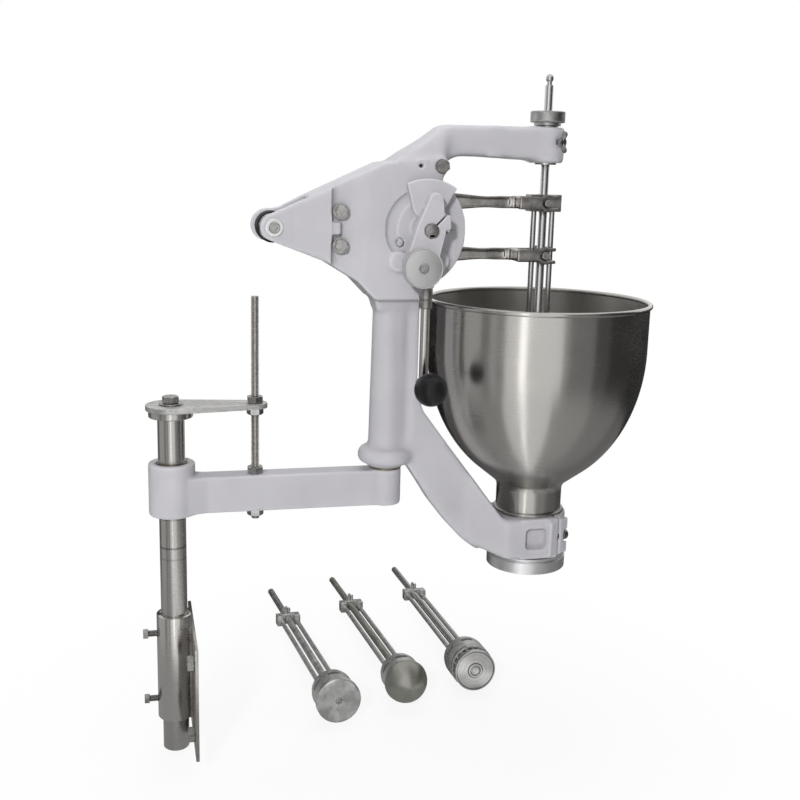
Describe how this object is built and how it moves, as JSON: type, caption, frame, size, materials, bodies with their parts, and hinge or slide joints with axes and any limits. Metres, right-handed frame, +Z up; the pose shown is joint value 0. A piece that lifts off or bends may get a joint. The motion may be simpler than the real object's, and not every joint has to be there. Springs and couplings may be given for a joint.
{
  "type": "manual donut depositor",
  "caption": "Hand-cranked donut depositor: steel hopper and plunger on a cast frame that swivels on an arm, carried by a column in a bolt-on bracket.",
  "frame": {"origin": "middle of the bracket plate's outer face, between its bolt holes", "axes": "+X out of the bracket plate's outer face, from the column towards the hopper; +Z up along the column; the crank and the front face look towards -Y"},
  "size_m": [0.6175, 0.6823, 0.8206],
  "materials": {
    "casting": "satin light grey paint",
    "stainless": "brushed",
    "bright_steel": "ground bright",
    "hardware": "zinc plated",
    "lever_steel": "dull nickel",
    "alloy": "turned",
    "bronze": "oiled",
    "spring_steel": "black",
    "knob_black": "semi gloss"
  },
  "bodies": {
    "bracket": {"mount_plate": "stainless", "weld_nuts": "hardware", "column_sleeve": "stainless", "sleeve_welds": "hardware"},
    "upper_set_screw": {"set_screw_upper": "hardware"},
    "lower_set_screw": {"set_screw_lower": "hardware"},
    "column": {"column": "stainless", "lift_disc": "stainless", "lift_bolt": "hardware"},
    "lifter": {"lift_plate": "stainless", "rod_nuts": "hardware"},
    "arm": {"swing_arm": "casting", "arm_bush": "bronze", "arm_nuts": "hardware", "height_rod": "hardware", "swivel_pin": "bright_steel", "thrust_washer": "bronze"},
    "frame": {"frame_casting": "casting", "rear_cover": "casting", "guide_plate": "hardware", "pad_bolts": "hardware", "cover_bolts": "hardware", "stop_screw": "hardware", "front_bush": "bronze", "rear_bush": "bronze", "lever_pivot": "hardware", "pivot_washers": "hardware", "spring_spacer": "hardware", "return_spring": "spring_steel", "guide_bush": "bright_steel", "hopper": "stainless"},
    "collar": {"adjusting_collar": "alloy"},
    "wing_screw": {"wing_screw": "hardware"},
    "clamp_screw": {"clamp_screw": "hardware"},
    "crank": {"main_shaft": "bright_steel", "shaft_key": "hardware", "shaft_collar": "hardware", "feed_cam": "hardware", "cutter_cam": "hardware", "crank_arm": "casting", "crank_screws": "hardware", "crank_disc": "alloy", "handle_rod": "bright_steel", "knob_stud": "bright_steel"},
    "knob": {"ball_knob": "knob_black"},
    "feed_lever": {"feed_lever": "lever_steel"},
    "cutter_lever": {"cutter_lever": "lever_steel"},
    "plunger_cage": {"upper_yoke": "stainless", "side_rods": "bright_steel", "plunger_sleeve": "stainless"},
    "plunger_core": {"centre_rod": "bright_steel", "stud_collar": "stainless", "plunger_disc": "stainless"},
    "cylinder": {"cylinder_body": "alloy"},
    "spare_plain_cage": {"spare_plain_cage": "stainless"},
    "spare_plain_core": {"spare_plain_core": "stainless"},
    "spare_dome_cage": {"spare_dome_cage": "stainless"},
    "spare_dome_core": {"spare_dome_core": "stainless"},
    "spare_wide_cage": {"spare_wide_cage": "stainless"},
    "spare_wide_core": {"spare_wide_core": "stainless"}
  },
  "joints": [
    {"name": "upper_set_screw_turn", "type": "hinge", "parent": "bracket", "child": "upper_set_screw", "pos_m": [-0.0235, 0, 0.062], "axis": [1, 0, 0], "continuous": true},
    {"name": "lower_set_screw_turn", "type": "hinge", "parent": "bracket", "child": "lower_set_screw", "pos_m": [-0.0235, 0, -0.022], "axis": [1, 0, 0], "continuous": true},
    {"name": "column_slide", "type": "slide", "parent": "bracket", "child": "column", "axis": [0, 0, 1], "range_m": [-0.05, 0.06]},
    {"name": "arm_swing", "type": "hinge", "parent": "column", "child": "lifter", "pos_m": [-0.0235, 0, 0], "axis": [0, 0, 1], "range_deg": [-90, 90]},
    {"name": "arm_height", "type": "slide", "parent": "lifter", "child": "arm", "axis": [0, 0, 1], "range_m": [-0.07, 0.05]},
    {"name": "frame_swivel", "type": "hinge", "parent": "arm", "child": "frame", "pos_m": [0.2315, 0, 0.2601], "axis": [0, 0, 1], "range_deg": [-100, 100]},
    {"name": "crank_turn", "type": "hinge", "parent": "frame", "child": "crank", "pos_m": [0.2635, 0, 0.5471], "axis": [0, 1, 0], "range_deg": [0, 120]},
    {"name": "knob_spin", "type": "hinge", "parent": "crank", "child": "knob", "pos_m": [0.261, -0.092, 0.3711], "axis": [0, 1, 0], "continuous": true},
    {"name": "feed_lever_swing", "type": "hinge", "parent": "frame", "child": "feed_lever", "pos_m": [0.0905, 0, 0.5471], "axis": [0, -1, 0], "range_deg": [0, 5]},
    {"name": "cutter_lever_swing", "type": "hinge", "parent": "frame", "child": "cutter_lever", "pos_m": [0.0905, 0, 0.5471], "axis": [0, -1, 0], "range_deg": [-4, 0]},
    {"name": "cage_slide", "type": "slide", "parent": "frame", "child": "plunger_cage", "axis": [0, 0, 1], "range_m": [0, 0.0289]},
    {"name": "core_slide", "type": "slide", "parent": "frame", "child": "plunger_core", "axis": [0, 0, 1], "range_m": [-0.02308, 0]},
    {"name": "cylinder_slide", "type": "slide", "parent": "frame", "child": "cylinder", "axis": [0, 0, 1], "range_m": [-0.1, 0]},
    {"name": "collar_turn", "type": "hinge", "parent": "frame", "child": "collar", "pos_m": [0.4195, 0, 0.6681], "axis": [0, 0, 1], "continuous": true},
    {"name": "wing_screw_turn", "type": "hinge", "parent": "frame", "child": "wing_screw", "pos_m": [0.4195, 0, 0.6491], "axis": [0.4067, -0.9135, 0], "continuous": true},
    {"name": "clamp_screw_turn", "type": "hinge", "parent": "frame", "child": "clamp_screw", "pos_m": [0.44275, -0.04027, 0.1701], "axis": [0.866, 0.5, 0], "continuous": true},
    {"name": "spare_plain_lift", "type": "slide", "parent": "bracket", "child": "spare_plain_cage", "axis": [0, 0, 1], "range_m": [0, 0.1]},
    {"name": "spare_plain_slide", "type": "slide", "parent": "spare_plain_cage", "child": "spare_plain_core", "axis": [0.0644, -0.9957, 0.0668], "range_m": [0, 0.02]},
    {"name": "spare_dome_lift", "type": "slide", "parent": "bracket", "child": "spare_dome_cage", "axis": [0, 0, 1], "range_m": [0, 0.1]},
    {"name": "spare_dome_slide", "type": "slide", "parent": "spare_dome_cage", "child": "spare_dome_core", "axis": [0.0383, -0.997, 0.0668], "range_m": [0, 0.02]},
    {"name": "spare_wide_lift", "type": "slide", "parent": "bracket", "child": "spare_wide_cage", "axis": [0, 0, 1], "range_m": [0, 0.1]},
    {"name": "spare_wide_slide", "type": "slide", "parent": "spare_wide_cage", "child": "spare_wide_core", "axis": [0, -0.9978, 0.0668], "range_m": [0, 0.02]}
  ],
  "couplings": [
    {"joint": "feed_lever_swing", "follows": "crank_turn", "ratio": 0.041667},
    {"joint": "cutter_lever_swing", "follows": "crank_turn", "ratio": -0.033333},
    {"joint": "cage_slide", "follows": "crank_turn", "m_per_rad": 0.0138},
    {"joint": "core_slide", "follows": "crank_turn", "m_per_rad": -0.011021}
  ]
}
